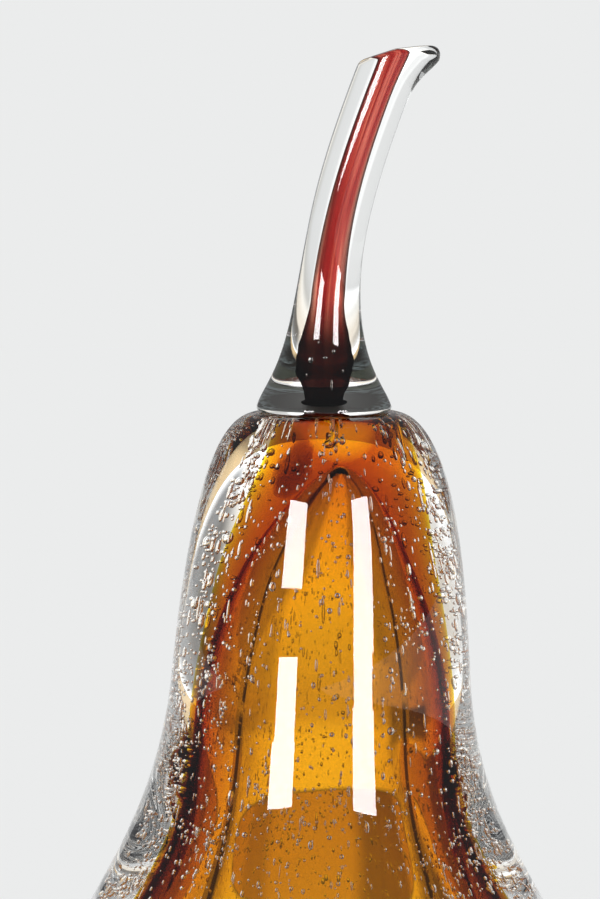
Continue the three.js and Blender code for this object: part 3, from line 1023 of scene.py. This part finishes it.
def card_light(shader, top):
    """Colour and strength of the card: pale, with painted shade in a thin dark line at its foot where it
    meets the floor, cream in its lower third, dim at its sides, and a painted shadow of the pear low down at
    either side.
    """
    x, y, up = shader.parts(shader.place())
    side = abs(x) / (x * x + y * y) ** 0.5
    # Painted shade: the thin dark line at the card's foot, where it meets the floor.
    edge = [(0.0, 0.15), (0.0025, 0.15), (0.004, 0.95), (0.07, 0.95)]
    cream = [(0.13, (0.66, 0.6, 0.52)), (0.2, (0.64, 0.58, 0.5)), (0.26, (0.76, 0.74, 0.7))]
    pale = [(0.3, 0.94), (0.36, 0.96), (0.45, 0.96), (1.0, 0.9)]
    colour_of = shader.ramp(up * (1 / top), [*edge, *cream, *pale])
    right, beside = shader.step(x, 0.0, 0.05), shader.step(side, 0.3, 0.42)
    left = (1 - right) * shader.step(up, 0.178, 0.188)
    high = shader.step(up, 0.18, 0.2) * shader.step(side, 0.12, 0.24)
    lit = (1 - (1 - left) * shader.step(up, 0.14, 0.16)) * (1 - high)
    dim = (1 - lit) * (0.35 - 0.25 * (1 - right) * (1 - high))
    shade = 1 - beside * (0.25 + dim - 0.2 * shader.fall(up, 0.045, 0.06))
    # Painted shadow of the pear, cast by the soft boxes on the card low down at either side, deeper on the
    # right.
    painted_pear_shadow = shader.between(up, (0.0, 0.03), (0.09, 0.105)) * shader.step(side, 0.45, 0.62)
    painted_pear_shadow = painted_pear_shadow * (0.35 + 0.65 * right)
    return colour_of, 2.1 * shade * (1 - 0.8 * painted_pear_shadow) * (1 - 0.5 * high * (1 - beside))


def stage_card():
    """A card curved round the back of the pear, half an ellipse in plan, which only the glass shows."""
    half_width, reach, top, steps = 0.44, 0.285, 0.6, 66
    turn = np.linspace(-0.97, 0.97, steps + 1)
    edge = np.stack([half_width * np.sin(turn), reach * np.cos(turn), 0 * turn], axis=-1)
    low = np.arange(steps)
    high = low + steps + 1
    faces = np.stack([[low, low + 1, high + 1], [low, high + 1, high]]).transpose(0, 2, 1).reshape(-1, 3)
    material, shader = new_material("pale_card")
    shader.ends(Surface=shader.glow(*card_light(shader, top)))
    points = np.concatenate([edge, edge + (0, 0, top)])
    hidden_from = ("camera", "diffuse", "glossy", "shadow", "volume_scatter")
    card = stage_piece("pale_card", material, points, faces, *hidden_from)


def floor_glow(shader, place, distance):
    """What the glass sees of the floor, painted as a glow: plain and dimmer in front, warm and brighter
    behind with painted amber light from the pear, two dim patches of painted shadow of the pear, and dark
    slits.
    """
    x, y, _ = shader.parts(place)
    front = shader.fall(y, -0.09, -0.05) * shader.between(distance, (0.1, 0.14), (0.5, 0.9))
    # Painted amber light on the floor behind the pear, as if passed through it.
    behind = shader.step(y, 0.0, 0.06) * shader.fall(distance, 0.4, 0.5)
    # Painted shadows of the pear, cast by the two soft boxes, behind it at either side.
    right = behind * shader.between(x, (0.03, 0.06), (0.15, 0.2))
    left = behind * shader.between(x, (-0.16, -0.12), (-0.09, -0.06))
    slit = shader.between(abs(x) / distance, (0.935, 0.945), (0.963, 0.972)) * shader.step(y, 0.0, 0.02)
    level = (0.52 + 0.6 * behind) * (1 - 0.85 * slit) * (1 - 0.6 * front)
    level = level * (1 - 0.6 * right) * (1 - 0.35 * left)
    return shader.glow(shader.mix_colour(behind, (1, 1, 1, 1), (1, 0.74, 0.42, 1)), level)


def stage_floor(backdrop):
    """A wide round floor that keeps the pear's shadow and turns into the backdrop's own colour far away."""
    turns, rings = 96, np.array([0.02, 0.3, 1.0, 4.0, 20.0])
    angle = np.linspace(0, 2 * np.pi, turns, endpoint=False)
    points = np.concatenate([[[0, 0, 0]], ring_points(rings[:, None], angle, 0.0).reshape(-1, 3)])
    step, after = np.arange(turns), np.roll(np.arange(turns), -1)
    faces = [np.stack([0 * step, 1 + step, 1 + after], -1)]
    for row in range(len(rings) - 1):
        low, high = 1 + row * turns, 1 + (row + 1) * turns
        faces.append(np.stack([low + step, high + step, high + after], -1))
        faces.append(np.stack([low + step, high + after, low + after], -1))
    material, shader = new_material("pale_floor")
    place = shader.place()
    distance = shader.node("ShaderNodeVectorMath", {"operation": "LENGTH"}, {0: place}, output=1)
    matt = shader.node("ShaderNodeBsdfDiffuse", sockets={"Color": rgba(backdrop)})
    glow = shader.glow(rgba(backdrop), 1.0)
    seen = shader.node("ShaderNodeMixShader", sockets={0: shader.step(distance, 0.5, 3.0), 1: matt, 2: glow})
    # Rays through the glass see floor_glow's painted light and painted shadows near the pear, in place of the
    # floor's own shading.
    through = shader.other(shader.node("ShaderNodeLightPath"), "Is Transmission Ray")
    near = through * shader.fall(distance, 1.0, 2.5)
    sockets = {0: near, 1: seen, 2: floor_glow(shader, place, distance)}
    shader.ends(Surface=shader.node("ShaderNodeMixShader", sockets=sockets))
    floor = stage_piece("studio_floor", material, points, np.concatenate(faces))


def soft_box(name, first, last, distance, bottom, top, fade=0.002, tint=(1, 1, 1)):
    """A glowing panel that faces the pear, between two azimuths in degrees measured from -Y towards +X.

    Its glow fades in above its lower edge. Only a mirroring surface shows it, and it lights nothing else.
    """
    turn = np.radians([first, last, last, first])
    height = np.array([bottom, bottom, top, top])
    points = np.stack([distance * np.sin(turn), -distance * np.cos(turn), height], axis=-1)
    material, shader = new_material(name)
    up = shader.parts(shader.place())[2]
    shader.ends(Surface=shader.glow(rgba(tint), 22 * shader.step(up, bottom, bottom + fade)))
    hidden_from = ("camera", "diffuse", "shadow", "volume_scatter", "transmission")
    box = stage_piece(name, material, points, np.array([(0, 1, 2), (0, 2, 3)]), *hidden_from)


class GLASSPEAR_OT_stage(bpy.types.Operator):
    """Camera at the photograph's angle, pale floor and backdrop, card behind the pear, four soft boxes"""

    bl_idname = "glass_pear.stage"
    bl_label = "Stage"

    def execute(self, context):
        stage = settings()[4]
        scene = context.scene
        scene.view_settings.view_transform = "Standard"
        scene.cycles.max_bounces = 32
        scene.cycles.transmission_bounces = 32
        scene.cycles.glossy_bounces = 24
        scene.cycles.transparent_max_bounces = 32
        stage_world(stage.backdrop)
        stage_floor(stage.backdrop)
        stage_card()
        pink_white = (1, 0.95, 0.98)
        soft_box("left_soft_box", -35, -18, 2, 0.47, 1.05, 0.01)
        soft_box("left_low_box", -30, -16.7, 0.152, 0.15, 0.1675)
        soft_box("right_soft_box", 24, 40, 2, 0.17, 1.05, 0.02, pink_white)
        soft_box("right_low_box", 22.6, 35.6, 0.15, 0.13, 0.172, tint=pink_white)
        data = bpy.data.cameras.new("camera")
        data.sensor_width = 36
        data.lens = data.sensor_width * stage.camera_distance / stage.picture_height
        data.clip_start, data.clip_end = 0.01, 100
        camera = bpy.data.objects.new("camera", data)
        away = np.array([0, -math.cos(stage.camera_pitch), math.sin(stage.camera_pitch)])
        camera.location = np.array([stage.aim_x, 0, stage.aim_height]) + away * stage.camera_distance
        camera.rotation_euler = (math.pi / 2 - stage.camera_pitch, 0, 0)
        scene.collection.objects.link(camera)
        scene.camera = camera
        return {"FINISHED"}


STEPS = (
    GLASSPEAR_OT_clear_gather,
    GLASSPEAR_OT_bubbled_gather,
    GLASSPEAR_OT_amber_bubble,
    GLASSPEAR_OT_stem_casing,
    GLASSPEAR_OT_stem_core,
    GLASSPEAR_OT_stage,
)


class GLASSPEAR_PT_panel(bpy.types.Panel):
    """Lists the pear's pieces and their sizes"""

    bl_label = "Glass Pear"
    bl_idname = "GLASSPEAR_PT_panel"
    bl_space_type = "VIEW_3D"
    bl_region_type = "UI"
    bl_category = "Glass Pear"

    def draw(self, context):
        column = self.layout.column()
        for step in STEPS:
            column.operator(step.bl_idname)
        for group in settings():
            box = self.layout.box()
            for name in group.__annotations__:
                box.prop(group, name)


def register():
    for cls in (*GROUPS.values(), *STEPS, GLASSPEAR_PT_panel):
        bpy.utils.register_class(cls)
    for name, group in GROUPS.items():
        setattr(bpy.types.Scene, name, bpy.props.PointerProperty(type=group))


def unregister():
    for name in GROUPS:
        delattr(bpy.types.Scene, name)
    for cls in reversed((*GROUPS.values(), *STEPS, GLASSPEAR_PT_panel)):
        bpy.utils.unregister_class(cls)


def main():
    register()
    bpy.ops.glass_pear.clear_gather()
    bpy.ops.glass_pear.bubbled_gather()
    bpy.ops.glass_pear.amber_bubble()
    bpy.ops.glass_pear.stem_casing()
    bpy.ops.glass_pear.stem_core()
    bpy.ops.glass_pear.stage()


if __name__ == "__main__":
    main()
